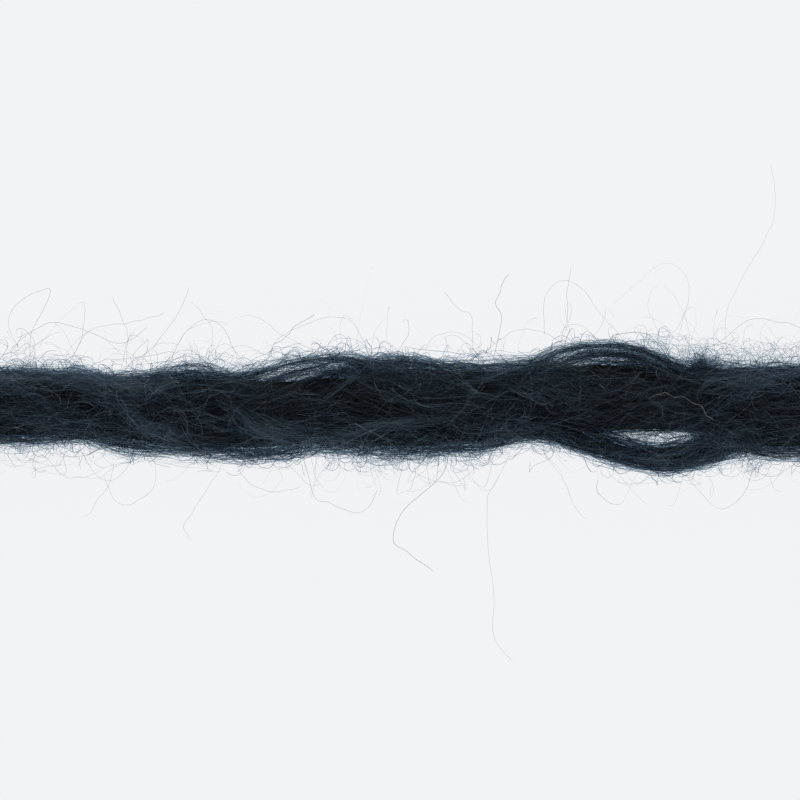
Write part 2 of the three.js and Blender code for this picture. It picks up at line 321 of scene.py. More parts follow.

# Wisps that lie over the strand, in millimetres, most of them light: real fibres whose lighter colour is
# painted light, as raised fibres catch it and as it comes through the thin wool near the rims
WISPS_WITH_PAINTED_LIGHT = [
    {"fibres": 90, "spread": 0.28, "shade": 0.5, "path": [(-21, 1.5), (-18, 1.6), (-15.5, 1.3), (-13, 0.9)]},
    {"fibres": 16, "spread": 0.05, "shade": 0.55, "path": [(-19, 1.2), (-18, 0.5), (-17, -0.3), (-16, -1.1)]},
    {"fibres": 70, "spread": 0.24, "shade": 0.55,
     "path": [(-17, 1.3), (-15.5, 0.9), (-13.7, 0), (-12.5, -1.1), (-10.5, -1.8)]},
    {"fibres": 40, "spread": 0.3, "shade": 0.35, "path": [(-20, -0.9), (-17, -1), (-14, -1.2), (-11, -1.9)]},
    {"fibres": 90, "spread": 0.25, "shade": 0.6,
     "path": [(-9.2, 0.7), (-8.2, 0), (-7.2, -0.9), (-5.6, -1.8)]},
    {"fibres": 80, "spread": 0.25, "shade": 0.5,
     "path": [(-7.5, -0.3), (-5.8, -1.1), (-4.2, -1.5), (-2.5, -1.2)]},
    {"fibres": 45, "spread": 0.15, "shade": 0.45, "path": [(-3.5, -1.3), (-1, -0.9), (1, -0.8), (3.3, -0.4)]},
    {"fibres": 26, "spread": 0.25, "shade": 0.4, "path": [(-4.2, 0.3), (-3, 1.1), (-1.5, 2), (0.5, 2.2)]},
    {"fibres": 36, "spread": 0.4, "shade": 0.2, "path": [(-3.2, 0.9), (-1.5, 0.4), (0, 0), (2, -0.4)]},
    {"fibres": 14, "spread": 0.1, "shade": 0.55, "path": [(2.2, 2.1), (3, 1.5), (3.8, 0.9), (4.6, 0.5)]},
    {"fibres": 16, "spread": 0.1, "shade": 0.55, "path": [(4, 1.5), (5.4, 1.1), (6.4, 0.5), (7.6, 0.1)]},
    {"fibres": 60, "spread": 0.4, "shade": 0.35, "path": [(5.5, 2.1), (7.3, 1.2), (9, 0.3), (10.8, -0.8)]},
    {"fibres": 70, "spread": 0.25, "shade": 0.5, "path": [(15.2, -0.6), (16.6, 0.6), (18, 1.4), (20.5, 2)]},
    {"fibres": 40, "spread": 0.2, "shade": 0.4,
     "path": [(12.5, -2.5), (14.5, -2), (16.5, -1.3), (18.2, -0.9)]},
    {"fibres": 50, "spread": 0.12, "shade": 0.15,
     "path": [(12.5, -3), (14.8, -2.75), (16.2, -2.2), (17.5, -1.9)]},
    {"fibres": 50, "spread": 0.12, "shade": 0.15,
     "path": [(16.2, -1.9), (17.6, -2.2), (19.2, -2.3), (21, -2)]},
]

# Hairs that stray far from the strand: their width as a share of a fibre's, and their way in millimetres
STRAYS = [
    {"wide": 0.7,
     "path": [(2.5, -2), (2, -3.7), (0.2, -5.3), (-0.4, -6.8), (0.3, -7.4), (1, -7.8), (1.6, -8.5)]},
    {"wide": 0.35,
     "path": [(5.5, -2.4), (4.7, -3.9), (4.4, -5), (4.4, -7.5), (4.8, -9.8), (4.7, -11.5), (5.6, -12.9)]},
    {"wide": 0.35, "path": [(-8.5, -2.2), (-9.4, -3.6), (-10.5, -5.3), (-10.8, -6.1), (-10.5, -6.6)]},
    {"wide": 0.6, "path": [(4.6, 2.5), (5.1, 4.8), (4.8, 5.5), (5.1, 6.2), (5.5, 6.9)]},
    {"wide": 0.3, "path": [(16.5, 2.4), (16.4, 4.7), (17.1, 6.7), (18.4, 8.5), (18.8, 10), (18.6, 12.4)]},
    {"wide": 0.35, "path": [(-9.4, 2.5), (-9.4, 3.8), (-9.9, 4.8), (-10.6, 5.4)]},
    {"wide": 0.5,
     "path": [(-18.4, 2.2), (-18.5, 4), (-17.6, 6), (-18.3, 5.9), (-19.3, 5.3), (-19.7, 4.2), (-18.4, 2.2)]},
    {"wide": 0.5, "path": [(-19.3, 3.7), (-17.6, 4.4), (-15.5, 3.9), (-13.9, 3.6), (-12.6, 4.2)]},
    {"wide": 0.4, "path": [(-16.7, 2.3), (-15.6, 3.9), (-13.6, 4.6), (-11.8, 4.9)]},
    {"wide": 0.4, "path": [(-14.5, 5.8), (-13.8, 4.6), (-13.7, 3.5), (-13.6, 2.4)]},
    {"wide": 0.6, "path": [(-6.8, 2.3), (-6.2, 3.2), (-5.4, 4), (-4.3, 4.7)]},
    {"wide": 0.45, "path": [(-5, -2.3), (-4.3, -4.5), (-3.6, -5), (-2, -5.2), (-1.1, -4.2)]},
    {"wide": 0.4, "path": [(2.1, 6.1), (2.8, 5.4), (3.5, 4.8), (3.7, 3.8), (3.5, 2.4)]},
    {"wide": 0.4, "path": [(8, 2.8), (8.4, 4.8), (8.5, 6.9)]},
    {"wide": 0.4, "path": [(0.2, -2.3), (-0.1, -4.3), (0.4, -4.3), (0.8, -3.5), (0.2, -2.3)]},
]
STRAY_SLOPE = 0.9  # how steeply they sink beside the strand
STRAY_LOWEST = 0.05 * MM
STRAND_HALF = 2.2 * MM  # how far from the strand's middle line they start to sink

# Tangles and clumps of hairs, in millimetres
TANGLES = [
    {"x": 15.1, "y": 2.4, "z": 2.6, "long": 0.3, "wide": 0.25, "hairs": 130},
    {"x": 12.2, "y": -1.55, "z": 2.2, "long": 3.0, "wide": 0.45, "hairs": 200},
    {"x": -4.2, "y": 1.8, "z": 2.4, "long": 1.8, "wide": 0.45, "hairs": 120},
    {"x": 10.3, "y": 2.5, "z": 2.5, "long": 1.8, "wide": 0.35, "hairs": 140},
    {"x": 13.4, "y": 3.2, "z": 2.6, "long": 1.2, "wide": 0.45, "hairs": 40},
    {"x": 15.0, "y": 3.0, "z": 2.6, "long": 0.7, "wide": 0.45, "hairs": 20},
    {"x": 18.0, "y": 2.6, "z": 2.2, "long": 2.6, "wide": 0.6, "hairs": 100},
    {"x": -18.9, "y": 2.9, "z": 2.2, "long": 0.6, "wide": 0.9, "hairs": 14},
    {"x": -9.8, "y": 2.3, "z": 2.2, "long": 1.7, "wide": 0.4, "hairs": 35},
    {"x": -17.2, "y": -2.3, "z": 1.5, "long": 1.9, "wide": 0.5, "hairs": 16},
    {"x": -2.5, "y": -2.6, "z": 1.5, "long": 3.0, "wide": 0.4, "hairs": 30},
    {"x": 2.6, "y": -2.5, "z": 1.5, "long": 1.8, "wide": 0.3, "hairs": 40},
    {"x": 3.8, "y": 2.9, "z": 2.2, "long": 2.0, "wide": 0.5, "hairs": 14},
    {"x": 7.4, "y": -1.9, "z": 1.5, "long": 1.6, "wide": 0.3, "hairs": 18},
    {"x": 17.5, "y": -2.6, "z": 1.5, "long": 1.8, "wide": 0.5, "hairs": 40},
]

# The one pale hair's way over the strand, in millimetres
PALE_HAIR = [
    (12.4, 0.5), (12.9, 0.75), (13.2, 0.85), (13.6, 0.65), (14.1, 0.65),
    (14.6, 0.3), (15.0, 0.05), (15.3, -0.4), (15.6, -0.6),
]
PALE_LIFT = 0.25 * MM  # how far above the strand's form it lies


# Camera and light

def add_camera():
    data = bpy.data.cameras.new("camera")
    data.sensor_width = SENSOR_WIDE
    data.lens = SENSOR_WIDE * (CAMERA_HEIGHT - STRAND_MIDDLE_Z) / VIEW_WIDE
    data.clip_start, data.clip_end = SEEN
    camera = bpy.data.objects.new("camera", data)
    camera.location = (0, VIEW_MIDDLE_Y, CAMERA_HEIGHT)
    bpy.context.scene.collection.objects.link(camera)
    bpy.context.scene.camera = camera


def add_world():
    """Soft light from all round, pale at the horizon and dimmer overhead."""
    world = bpy.data.worlds.new("studio")
    bpy.context.scene.world = world
    world.use_nodes = True
    world.cycles.sampling_method = "NONE"
    nodes, links = world.node_tree.nodes, world.node_tree.links
    background = nodes["Background"]
    place = nodes.new("ShaderNodeTexCoord")
    split = nodes.new("ShaderNodeSeparateXYZ")
    ramp = nodes.new("ShaderNodeValToRGB")
    ramp.color_ramp.elements[0].position = 0.0
    ramp.color_ramp.elements[0].color = HORIZON_LIGHT
    ramp.color_ramp.elements[1].position = OVERHEAD_START
    ramp.color_ramp.elements[1].color = OVERHEAD_LIGHT
    links.new(place.outputs["Generated"], split.inputs[0])
    links.new(split.outputs["Z"], ramp.inputs["Fac"])
    links.new(ramp.outputs["Color"], background.inputs["Color"])


def add_lamp(name, place, size, watts):
    """A square lamp that faces the middle of the strand."""
    data = bpy.data.lights.new(name, "AREA")
    data.size = size
    data.energy = watts
    lamp = bpy.data.objects.new(name, data)
    lamp.location = place
    toward = -np.array(place)
    lamp.rotation_euler = (
        math.atan2(math.hypot(toward[0], toward[1]), -toward[2]),
        0,
        math.atan2(toward[1], toward[0]) - math.pi / 2,
    )
    bpy.context.scene.collection.objects.link(lamp)


def add_table():
    """A pale light table, which glows evenly, so that the strand throws no shadow."""
    half = TABLE_HALF
    mesh = bpy.data.meshes.new("table")
    corners = [(-half, -half, 0), (half, -half, 0), (half, half, 0), (-half, half, 0)]
    mesh.from_pydata(corners, [], [(0, 1, 2, 3)])
    table = bpy.data.objects.new("table", mesh)
    bpy.context.scene.collection.objects.link(table)
    material = bpy.data.materials.new("pale_table")
    material.use_nodes = True
    material.cycles.emission_sampling = "NONE"
    shader = material.node_tree.nodes["Principled BSDF"]
    shader.inputs["Base Color"].default_value = TABLE_COLOUR
    shader.inputs["Roughness"].default_value = TABLE_ROUGH
    shader.inputs["Specular IOR Level"].default_value = 0.0
    shader.inputs["Emission Color"].default_value = TABLE_GLOW
    shader.inputs["Emission Strength"].default_value = TABLE_GLOW_STRENGTH
    mesh.materials.append(material)


# Wool materials

def wool_material(name, dark, light, rough, solid):
    """Dyed wool. A fibre's place in the OFBake map gives its shade, from dark to light, and its mottling.

    Where solid is under 1, the rest of the light passes through the fibre and takes on its tint.
    """
    material = bpy.data.materials.new(name)
    material.use_nodes = True
    nodes, links = material.node_tree.nodes, material.node_tree.links
    shader = nodes["Principled BSDF"]
    place = nodes.new("ShaderNodeUVMap")
    place.uv_map = "OFBake"
    split = nodes.new("ShaderNodeSeparateXYZ")
    stretch = nodes.new("ShaderNodeMapping")
    stretch.inputs["Scale"].default_value = MOTTLE_FINE
    mottle = nodes.new("ShaderNodeTexNoise")
    mottle.inputs["Scale"].default_value = 1.0
    mottle.inputs["Detail"].default_value = MOTTLE_DETAIL
    shift = nodes.new("ShaderNodeMath")
    shift.operation = "MULTIPLY_ADD"
    shift.inputs[1].default_value = MOTTLE_SHIFT
    ramp = nodes.new("ShaderNodeValToRGB")
    ramp.color_ramp.elements[0].position = DARK_END
    ramp.color_ramp.elements[0].color = (*dark, 1)
    ramp.color_ramp.elements[1].position = LIGHT_END
    ramp.color_ramp.elements[1].color = (*light, 1)
    links.new(place.outputs["UV"], split.inputs[0])
    links.new(place.outputs["UV"], stretch.inputs["Vector"])
    links.new(stretch.outputs["Vector"], mottle.inputs["Vector"])
    links.new(mottle.outputs["Fac"], shift.inputs[0])
    links.new(split.outputs["X"], shift.inputs[2])
    links.new(shift.outputs["Value"], ramp.inputs["Fac"])
    links.new(ramp.outputs["Color"], shader.inputs["Base Color"])
    shader.inputs["Roughness"].default_value = rough
    shader.inputs["Specular IOR Level"].default_value = WOOL_GLOSS
    if solid < 1.0:
        passing = nodes.new("ShaderNodeBsdfTransparent")
        passing.inputs["Color"].default_value = (*FIBRE_TINT, 1)
        both = nodes.new("ShaderNodeMixShader")
        both.inputs["Fac"].default_value = solid
        links.new(passing.outputs["BSDF"], both.inputs[1])
        links.new(shader.outputs["BSDF"], both.inputs[2])
        links.new(both.outputs["Shader"], nodes["Material Output"].inputs["Surface"])
    return material


# The plies' forms, read from the frame

def sections(node):
    """The x of each cross-section of a node, the middle of each, and its radius in each direction."""
    points = np.array([v.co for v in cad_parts[node].data.vertices])
    marks = np.round(points[:, 0] / (SECTION_GRID * MM)).astype(int)
    xs, middles, radii = [], [], []
    for mark in np.unique(marks):
        ring = np.unique(np.round(points[marks == mark][:, 1:], 7), axis=0)
        middle = (ring.min(0) + ring.max(0)) / 2
        out = ring - middle
        reach = np.hypot(out[:, 0], out[:, 1])
        rim = reach > RIM_FROM
        angle = np.arctan2(out[rim, 1], out[rim, 0])
        xs.append(mark * SECTION_GRID * MM)
        middles.append(middle)
        radii.append(np.interp(EVERY_ANGLE, angle, reach[rim], period=2 * math.pi))
    return np.array(xs), np.array(middles), np.array(radii)


class Form:
    """A long form: a middle line along x, and a radius in each direction round it."""

    def __init__(self, xs, middles, radii):
        self.xs, self.middles, self.radii = xs, middles, radii

    def middle(self, x):
        y = np.interp(x, self.xs, self.middles[:, 0])
        z = np.interp(x, self.xs, self.middles[:, 1])
        return y, z

    def radius(self, x, angle):
        row = np.clip(np.interp(x, self.xs, np.arange(len(self.xs))), 0, len(self.xs) - 1.001)
        column = (angle / (2 * math.pi) * ANGLES) % ANGLES
        i, j = row.astype(int), column.astype(int) % ANGLES
        a, b, k = row - i, column - np.floor(column), (j + 1) % ANGLES
        near = (1 - b) * self.radii[i, j] + b * self.radii[i, k]
        far = (1 - b) * self.radii[i + 1, j] + b * self.radii[i + 1, k]
        return (1 - a) * near + a * far

    def point(self, x, angle, share):
        """The place at x, in a direction round the middle, at a share of the radius."""
        y, z = self.middle(x)
        reach = share * self.radius(x, angle)
        return np.stack([x, y + reach * np.cos(angle), z + reach * np.sin(angle)], axis=-1)


def hull(forms):
    """The form that wraps all the plies, bridging the valleys between them."""
    xs = forms[0].xs
    middles = np.mean([form.middles for form in forms], axis=0)
    radii = []
    for x, middle in zip(xs, middles):
        rims = [form.point(np.full(ANGLES, x), EVERY_ANGLE, 1.0)[:, 1:] for form in forms]
        around = np.concatenate(rims) - middle
        angle = np.arctan2(around[:, 1], around[:, 0])
        facing = np.clip(np.cos(EVERY_ANGLE[:, None] - angle[None, :]), 0, 1) ** 2
        radii.append((facing * np.hypot(around[:, 0], around[:, 1])).max(axis=1))
    return Form(xs, middles, np.array(radii))


# Where the fibres lie against the plies' forms

def settled(paths):
    """The paths moved to where the strand's edges are."""
    x = [row["x"] * MM for row in EDGES]
    top = np.interp(paths[..., 0], x, [row["top"] * MM for row in EDGES])
    bottom = np.interp(paths[..., 0], x, [row["bottom"] * MM for row in EDGES])
    edge = np.clip(paths[..., 1] / EDGE_FROM_MIDDLE, -1, 1)
    moved = paths.copy()
    moved[..., 1] += top * np.maximum(edge, 0) + bottom * np.maximum(-edge, 0)
    return moved


def parted(paths, random, crossing=True):
    """The paths drawn aside at the openings, each to the side on which it mostly lies.

    Without crossing, none stays in an opening, and all of them stop at its rim.
    """
    moved = paths.copy()
    for row in OPENINGS:
        turn = math.radians(row["turn"])
        x, y = moved[..., 0] / MM - row["x"], moved[..., 1] / MM - row["y"]
        along = x * math.cos(turn) + y * math.sin(turn)
        across = y * math.cos(turn) - x * math.sin(turn)
        near = np.clip(1 - np.abs(along / row["long"]) ** BLUNT, 0, 1) ** ROUND
        side = np.where((across * near).sum(axis=1, keepdims=True) < 0, -1, 1)
        off = across * side
        rim = row["wide"] * near
        filled = crossing * random.uniform(0, RIM_FILLED, (len(paths), 1))
        into_rim = np.clip(off / (rim + RIM_WIDE), filled, 1)
        drawn = np.where(off < rim + RIM_WIDE, rim + RIM_WIDE * into_rim, off)
        parts = random.random((len(paths), 1)) > row["crossing"] * crossing
        shift = (drawn - off) * near * side * parts * MM
        moved[..., 0] -= shift * math.sin(turn)
        moved[..., 1] += shift * math.cos(turn)
    return moved


def waves(random, count, x, sizes):
    """A smooth random wander along x for each of count fibres. sizes: (wavelength, height) pairs."""
    total = 0
    for wavelength, height in sizes:
        stretch = random.uniform(*WAVE_STRETCH, (count, 1))
        phase = random.uniform(0, 2 * math.pi, (count, 1))
        total = total + height * np.sin(2 * math.pi * x / (wavelength * stretch) + phase)
    return total


def unit(vectors, least=0.0):
    """The vectors at a length of 1. A least above 0 also allows vectors without any length."""
    return vectors / (np.linalg.norm(vectors, axis=-1, keepdims=True) + least)


# Meshes

def new_piece(name, points, faces, uvs, material):
    """A mesh from arrays: faces is a list of (faces x corners) index arrays, uvs matches them."""
    mesh = bpy.data.meshes.new(name)
    mesh.vertices.add(len(points))
    mesh.vertices.foreach_set("co", np.ascontiguousarray(points, dtype=np.float32).ravel())
    corners = np.concatenate([f.ravel() for f in faces])
    totals = np.concatenate([np.full(len(f), f.shape[1]) for f in faces])
    starts = np.concatenate([[0], np.cumsum(totals)[:-1]])
    mesh.loops.add(len(corners))
    mesh.loops.foreach_set("vertex_index", corners.astype(np.int32))
    mesh.polygons.add(len(totals))
    mesh.polygons.foreach_set("loop_start", starts.astype(np.int32))
    mesh.polygons.foreach_set("loop_total", totals.astype(np.int32))
    mesh.polygons.foreach_set("use_smooth", np.ones(len(totals), dtype=bool))
    layer = mesh.uv_layers.new(name="OFBake")
    layer.data.foreach_set("uv", np.concatenate([u.reshape(-1) for u in uvs]).astype(np.float32))
    mesh.update(calc_edges=True)
    mesh.validate()
    mesh.materials.append(material)
    piece = bpy.data.objects.new(name, mesh)
    bpy.context.scene.collection.objects.link(piece)
    return piece


def ribbons(name, paths, widths, shades, random, material, flat=False):
    """One thin strip along each path. paths: fibres x points x 3, widths: one a fibre, shades: one a point.

    Flat strips face upwards, others any way.
    """
    paths = settled(paths)
    count, length, _ = paths.shape
    ahead = unit(np.gradient(paths, axis=1), TINY)
    across = np.zeros_like(paths)
    face = (0, 0, 1) if flat else random.normal(0, 1, (count, 3))
    across[:, 0] = unit(np.cross(ahead[:, 0], face), TINY)
    for k in range(1, length):
        turned = across[:, k - 1] - (across[:, k - 1] * ahead[:, k]).sum(1, keepdims=True) * ahead[:, k]
        across[:, k] = unit(turned, TINY)
    taper = np.ones(length)
    taper[0] = taper[-1] = FIBRE_TIP
    side = across * (widths[:, None] / 2 * taper[None, :])[:, :, None]
    points = np.stack([paths - side, paths + side], axis=2).reshape(-1, 3)
    index = np.arange(count * length * 2).reshape(count, length, 2)
    quads = np.stack([index[:, :-1, 0], index[:, :-1, 1], index[:, 1:, 1], index[:, 1:, 0]], axis=-1)
    u = SHADE_START + SHADE_REACH * shades
    a, b = u[:, :-1], u[:, 1:]
    v = np.linspace(*STRIP_ENDS, length)
    low, high = np.broadcast_to(v[:-1], a.shape), np.broadcast_to(v[1:], a.shape)
    uv = np.stack([a, low, a + STRIP_WIDE, low, b + STRIP_WIDE, high, b, high], axis=-1)
    return new_piece(name, points, [quads.reshape(-1, 4)], [uv.reshape(-1, 8)], material)


# The dense core of the plies

def middle_form(strand):
    """The dense wool where the plies press on one another."""
    x = [row["x"] * MM for row in MIDDLE]
    low = np.interp(strand.xs, x, [row["low"] * MM for row in MIDDLE])
    high = np.interp(strand.xs, x, [row["high"] * MM for row in MIDDLE])
    across, up = (high - low)[:, None] / 2, MIDDLE_DEEP * MM / 2
    radii = across * up / np.hypot(up * np.cos(EVERY_ANGLE), across * np.sin(EVERY_ANGLE))
    middles = np.stack([(low + high) / 2, strand.middles[:, 1]], axis=1)
    return Form(strand.xs, middles, radii)


def thin_places(node):
    return [place for place in THIN_PLACES if place["ply"] == node]


def core_share(node, xs):
    """A ply's core, as a share of its radius."""
    share = np.full(len(xs), CORE_SHARE)
    for place in thin_places(node):
        inside = np.minimum(xs / MM - place["start"] + THIN_FADE, place["end"] + THIN_FADE - xs / MM)
        share = np.minimum(share, CORE_SHARE * np.clip(1 - inside / THIN_FADE, place["core"], 1))
    return share


def core(forms, shares, material):
    """A closed, ridged tube along each form, at a share of its radius and thinner at the ends."""
    steps, sides = CORE_STEPS, CORE_SIDES
    every = np.arange(sides) * 2 * math.pi / sides
    half = forms[0].xs[-1] - CORE_DRAWN_IN
    x = np.repeat(np.linspace(-half, half, steps)[:, None], sides, axis=1)
    angle = np.repeat(every[None, :], steps, axis=0)
    ridges = sum(row["height"] * np.cos(row["ridges"] * angle + x / (row["slant"] * MM)) for row in RIDGES)
    thinned = np.clip(CORE_TIP + (1 - CORE_TIP) * (half - np.abs(x)) / CORE_TAPER, 0, 1)
    u0 = np.broadcast_to((np.arange(sides) / sides)[None, :], (steps - 1, sides))
    v0 = np.broadcast_to(np.linspace(0, 1, steps)[:-1, None], (steps - 1, sides))
    du, dv = 1 / sides, 1 / (steps - 1)
    quad_uv = np.stack([u0, v0, u0 + du, v0, u0 + du, v0 + dv, u0, v0 + dv], axis=-1).reshape(-1, 8)
    rim = np.stack([0.5 + 0.1 * np.cos(every), 0.5 + 0.1 * np.sin(every)], axis=-1)
    cap_uv = np.stack([rim, rim]).reshape(2, -1)
    points, quads, caps = [], [], []
    for number, (form, share) in enumerate(zip(forms, shares)):
        reach = np.interp(x, form.xs, share) * thinned * (1 + RIDGE_HIGH * ridges)
        lines = form.point(x, angle, reach).transpose(1, 0, 2)
        lines = parted(lines, np.random.default_rng(SEED), crossing=False)
        points.append(lines.transpose(1, 0, 2).reshape(-1, 3))
        index = number * steps * sides + np.arange(steps * sides).reshape(steps, sides)
        here, there = index[:-1], index[1:]
        quad = np.stack([here, np.roll(here, -1, 1), np.roll(there, -1, 1), there], axis=-1)
        quads.append(quad.reshape(-1, 4))
        caps.append(np.stack([index[0, ::-1], index[-1]]))
    faces = [np.concatenate(quads), np.concatenate(caps)]
    uvs = [np.concatenate([quad_uv] * len(forms)), np.concatenate([cap_uv] * len(forms))]
    return new_piece("yarn_core", np.concatenate(points), faces, uvs, material)


# Fibres in and on the plies

def tone(paths):
    """How much lighter or darker than elsewhere the wool shows at each point, painted light and shade
    included.
    """
    total = np.ones(paths.shape[:2])
    for row in TONES_AND_PAINTED_LIGHT:
        x, y = paths[..., 0] / MM - row["x"], paths[..., 1] / MM - row["y"]
        turn = math.radians(row["turn"])
        along = (x * math.cos(turn) + y * math.sin(turn)) / row["long"]
        across = (y * math.cos(turn) - x * math.sin(turn)) / row["wide"]
        total *= 1 + (row["tone"] - 1) * np.exp(-(along**2) - across**2)
    return total


def shades_for(paths, random, low, spread):
    """A fibre's shade at each point: most are near low, a few are much lighter, and the tones add painted
    light and shade.
    """
    shade = low + spread * random.exponential(1, (len(paths), 1)) ** FEW_LIGHT
    return np.clip(shade * tone(paths), 0, 1)


def dress(name, kind, paths, random, wools):
    """A piece of fibres along the paths, with the wool, widths and shades of their kind."""
    look = LOOKS[kind]
    widths = FIBRE_THICK * random.uniform(look["thin"], look["thick"], len(paths))
    shades = shades_for(paths, random, look["shade"], look["spread"])
    return ribbons(name, paths, widths, shades, random, wools[look["wool"]])


def ply_fibres(form, random, thin, ends, count, points, wisps):
    """Fibres that fill a ply and run along it in wisps, spun against the way the plies turn.

    At the thin places, those that don't go on end before the place or start after it.
    """
    wisp = random.integers(0, wisps, count)
    spin = random.normal(SPIN, WISP_SPIN, wisps)[wisp] + random.normal(0, FIBRE_SPIN, count)
    wisp_angle = random.uniform(0, 2 * math.pi, wisps)[wisp] + random.normal(0, WISP_ANGLE, count)
    cut = form.xs[-1] + random.uniform(-RAGGED, RAGGED, count)
    start = random.uniform(ends[0] - FIRST_START, ends[1] - LAST_START, count)
    end = np.minimum(start + random.uniform(*FIBRE_LONG, count), cut)
    start = np.maximum(start, -cut)
    for place in thin:
        stays_out = random.random(count) > place["kept"]
        first = place["start"] * MM + random.normal(0, THIN_RAGGED, count)
        last = place["end"] * MM + random.normal(0, THIN_RAGGED, count)
        before = start + end < first + last
        end = np.where(stays_out & before, np.minimum(end, first), end)
        start = np.where(stays_out & before, np.minimum(start, end - SHORTEST_LEFT), start)
        start = np.where(stays_out & ~before, np.maximum(start, last), start)
        end = np.where(stays_out & ~before, np.maximum(end, start + SHORTEST_LEFT), end)
    x = start[:, None] + (end - start)[:, None] * np.linspace(0, 1, points)[None, :]
    angle = wisp_angle[:, None] + 2 * math.pi * spin[:, None] * x / MM
    angle += waves(random, count, x, TURN_WAVES)
    share = OUTERMOST * np.sqrt(random.uniform(INNERMOST, 1, wisps))[wisp]
    share = (share + random.normal(0, WISP_DEPTH, count) + random.exponential(OUTWARD, count))[:, None]
    share = np.abs(share + waves(random, count, x, DEPTH_WAVES))
    paths = form.point(x, angle, share)
    paths[..., 2] = np.maximum(paths[..., 2], FLOOR_CLEAR)
    return parted(paths, random)


def crossing_fibres(form, random, count, points, step):
    """Loose fibres that lie over the strand in all directions."""
    inset = 1 * MM  # how far from the cut they start, at least
    slant = 0.5  # radians to the strand, as a spread
    first_bend, more_bend, kink = 0.08, 0.05, 0.08  # radians from point to point, as spreads
    least_around = 0.5 * MM  # the least radius round which they go
    depth, depth_spread = 0.98, 0.06  # as shares of the strand's radius
    x = np.zeros((count, points))
    angle = np.zeros((count, points))
    x[:, 0] = random.uniform(form.xs[0] + inset, form.xs[-1] - inset, count)
    angle[:, 0] = random.uniform(0, 2 * math.pi, count)
    heading = random.normal(0, slant, count) + math.pi * (random.random(count) < 0.5)
    bend = random.normal(0, first_bend, count)
    for k in range(1, points):
        bend = BEND_KEPT * bend + random.normal(0, more_bend, count)
        heading += bend + random.normal(0, kink, count)
        around = np.maximum(form.radius(x[:, k - 1], angle[:, k - 1]), least_around)
        x[:, k] = np.clip(x[:, k - 1] + step * MM * np.cos(heading), form.xs[0], form.xs[-1])
        angle[:, k] = angle[:, k - 1] + step * MM * np.sin(heading) / around
    share = random.normal(depth, depth_spread, count)[:, None] + waves(random, count, x, CROSSING_WAVES)
    paths = form.point(x, angle, share)
    paths[..., 2] = np.maximum(paths[..., 2], FLOOR_CLEAR)
    return paths


def fuzzy(random, x, angle):
    """Whether a hair stands at x in a direction round the strand, by the table's shares."""
    at = [row["x"] * MM for row in FUZZ]
    top = np.interp(x, at, [row["top"] for row in FUZZ])
    bottom = np.interp(x, at, [row["bottom"] for row in FUZZ])
    up = (1 + np.cos(angle)) / 2
    return random.random(len(x)) < up * top + (1 - up) * bottom


def curly_fibres(form, strand, random, count, points, step, curl, rise, pull, stray, most):
    """Curly hairs that stand off a form, mostly on the strand's outside, and curl back to it."""
    tries = 4 * count  # places that are tried, of which the table of the fuzz leaves enough
    inset = 0.5 * MM  # how far from the cut they start, at least
    sideways = 1.2  # radians from the outward direction, as a spread
    rooted = (0.85, 1.0)  # where they start, as shares of the form's radius
    set_off = [1.0, 0.2, 0.2]  # how much they head along, across and up at first, as spreads
    least_stray = 0.06 * MM
    curl_spread, more_bend, kink = 0.6, 0.6, 0.1
    softly, hardest = 0.15 * MM, 1.5  # how gently they are drawn back at first, and how hard at most
    x = random.uniform(form.xs[0] + inset, form.xs[-1] - inset, tries)
    outward = np.subtract(form.middle(x), strand.middle(x))
    outward = np.arctan2(outward[1], outward[0]) + random.normal(0, sideways, tries)
    angle = random.uniform(0, 2 * math.pi, tries) if form is strand else outward
    stands = fuzzy(random, x, angle)
    x, angle = x[stands][:count], angle[stands][:count]
    place = form.point(x, angle, random.uniform(*rooted, count))
    out = np.stack([np.zeros(count), np.cos(angle), np.sin(angle)], axis=1)
    heading = unit(random.normal(0, 1, (count, 3)) * set_off + rise * out)
    leash = np.minimum(random.exponential(stray * MM, count) + least_stray, most * MM)
    curls = curl * random.lognormal(0, curl_spread, (count, 1))
    bend = random.normal(0, 1, (count, 3)) * curls
    paths = [place]
    for _ in range(1, points):
        bend = BEND_KEPT * bend + random.normal(0, more_bend, (count, 3)) * curls
        here = paths[-1]
        y, z = form.middle(here[:, 0])
        away = np.stack([np.zeros(count), here[:, 1] - y, here[:, 2] - z], axis=1)
        far = np.linalg.norm(away, axis=1)
        around = np.arctan2(away[:, 2], away[:, 1])
        strayed = far - form.radius(here[:, 0], around)
        back = pull * np.clip((strayed - leash) / (leash + softly), 0, hardest)
        kinks = random.normal(0, kink, (count, 3))
        heading = unit(heading + kinks + np.cross(bend, heading) - back[:, None] * away / far[:, None])
        there = here + step * MM * heading
        low = there[:, 2] < FLOOR_CLEAR
        heading[low, 2] = np.abs(heading[low, 2])
        there[:, 2] = np.maximum(there[:, 2], FLOOR_CLEAR)
        paths.append(there)
    return parted(np.stack(paths, axis=1), random)


# Hairs whose places the tables give

def smooth_line(path, count):
    """A smooth line of count points through the path's points."""
    path = np.array(path, dtype=float)
    path = np.vstack([2 * path[0] - path[1], path, 2 * path[-1] - path[-2]])
    t = np.linspace(0, len(path) - 3.0001, count)
    i, f = t.astype(int), (t % 1)[:, None]
    a, b, c, d = path[i], path[i + 1], path[i + 2], path[i + 3]
    return 0.5 * (2 * b + (c - a) * f + (2 * a - 5 * b + 4 * c - d) * f**2 + (3 * (b - c) + d - a) * f**3)


def on_top(form, x, y):
    """The height at which a fibre lies on a form, over the place x, y."""
    middle_y, middle_z = form.middle(x)
    angle = np.full_like(x, math.pi / 2)
    for _ in range(4):  # each time nearer to the direction in which the form's rim has this y
        radius = form.radius(x, angle)
        angle = np.arccos(np.clip((y - middle_y) / radius, -1, 1))
    return middle_z + form.radius(x, angle) * np.sin(angle)


